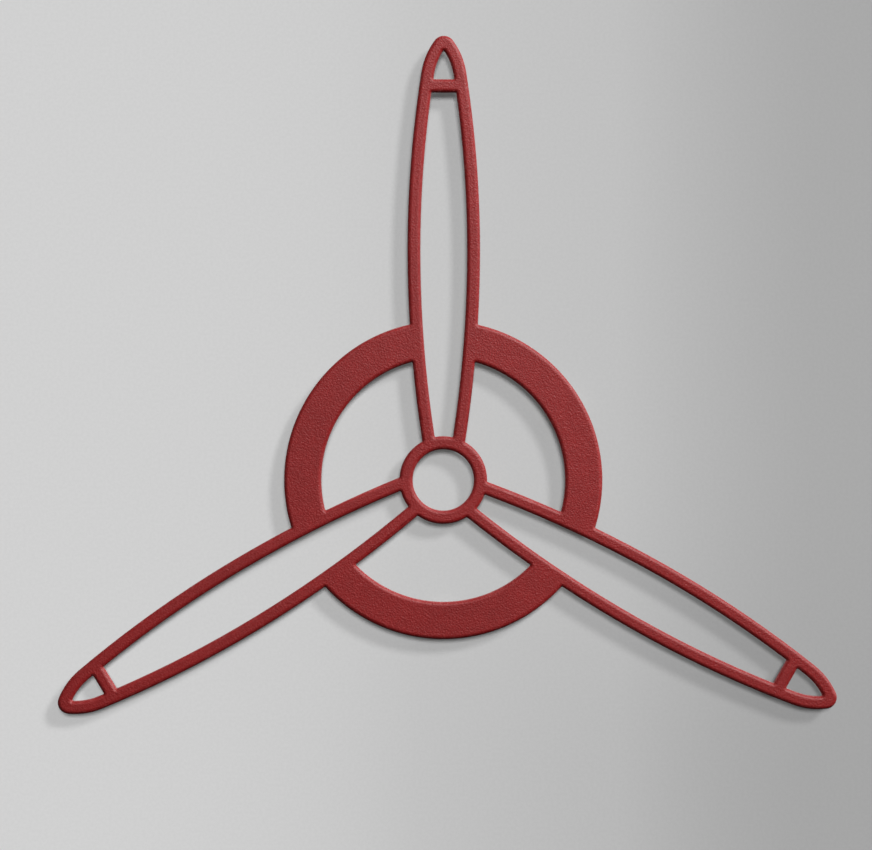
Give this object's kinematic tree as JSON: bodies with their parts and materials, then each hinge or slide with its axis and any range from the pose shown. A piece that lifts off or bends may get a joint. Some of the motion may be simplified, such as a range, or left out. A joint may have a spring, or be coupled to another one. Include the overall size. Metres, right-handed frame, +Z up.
{
  "type": "propeller wall ornament",
  "caption": "Flat open-outline propeller wall ornament: blades, hub ring and cowl arcs in one painted plane, on hidden stand-offs that release forwards.",
  "frame": {"origin": "hub centre on the wall's surface, at the middle of the three wall screw holes", "axes": "+Z up, +X to the viewer's right, front face towards -Y, +Y into the wall"},
  "size_m": [0.6, 0.02, 0.5225],
  "materials": {
    "painted_board": "textured satin red paint over board",
    "dowel_wood": "plain hardwood",
    "turned_metal": "turned satin",
    "plated_steel": "zinc plated",
    "dark_steel": "black oxide"
  },
  "bodies": {
    "wall_mount": {"standoff_barrel_right": "turned_metal", "standoff_barrel_left": "turned_metal", "standoff_barrel_bottom": "turned_metal"},
    "ornament": {"hub_ring": "painted_board", "blade_frame_top": "painted_board", "blade_frame_left": "painted_board", "blade_frame_right": "painted_board", "tip_crossbar_top": "painted_board", "tip_crossbar_left": "painted_board", "tip_crossbar_right": "painted_board", "cowl_arc_right": "painted_board", "cowl_arc_left": "painted_board", "cowl_arc_bottom": "painted_board", "hub_dowels": "dowel_wood", "cowl_dowels": "dowel_wood", "crossbar_dowels": "dowel_wood", "standoff_spigot_right": "turned_metal", "standoff_spigot_left": "turned_metal", "standoff_spigot_bottom": "turned_metal", "spigot_screws": "plated_steel"},
    "grub_right": {"grub_screw_right": "dark_steel"},
    "grub_left": {"grub_screw_left": "dark_steel"},
    "grub_bottom": {"grub_screw_bottom": "dark_steel"}
  },
  "joints": [
    {"name": "pull_off", "type": "slide", "parent": "wall_mount", "child": "ornament", "axis": [0, -1, 0], "range_m": [0, 0.01]},
    {"name": "grub_right_travel", "type": "slide", "parent": "wall_mount", "child": "grub_right", "axis": [0.866, 0, 0.5], "range_m": [0, 0.0015]},
    {"name": "grub_left_travel", "type": "slide", "parent": "wall_mount", "child": "grub_left", "axis": [-0.866, 0, 0.5], "range_m": [0, 0.0015]},
    {"name": "grub_bottom_travel", "type": "slide", "parent": "wall_mount", "child": "grub_bottom", "axis": [0, 0, -1], "range_m": [0, 0.0015]}
  ]
}
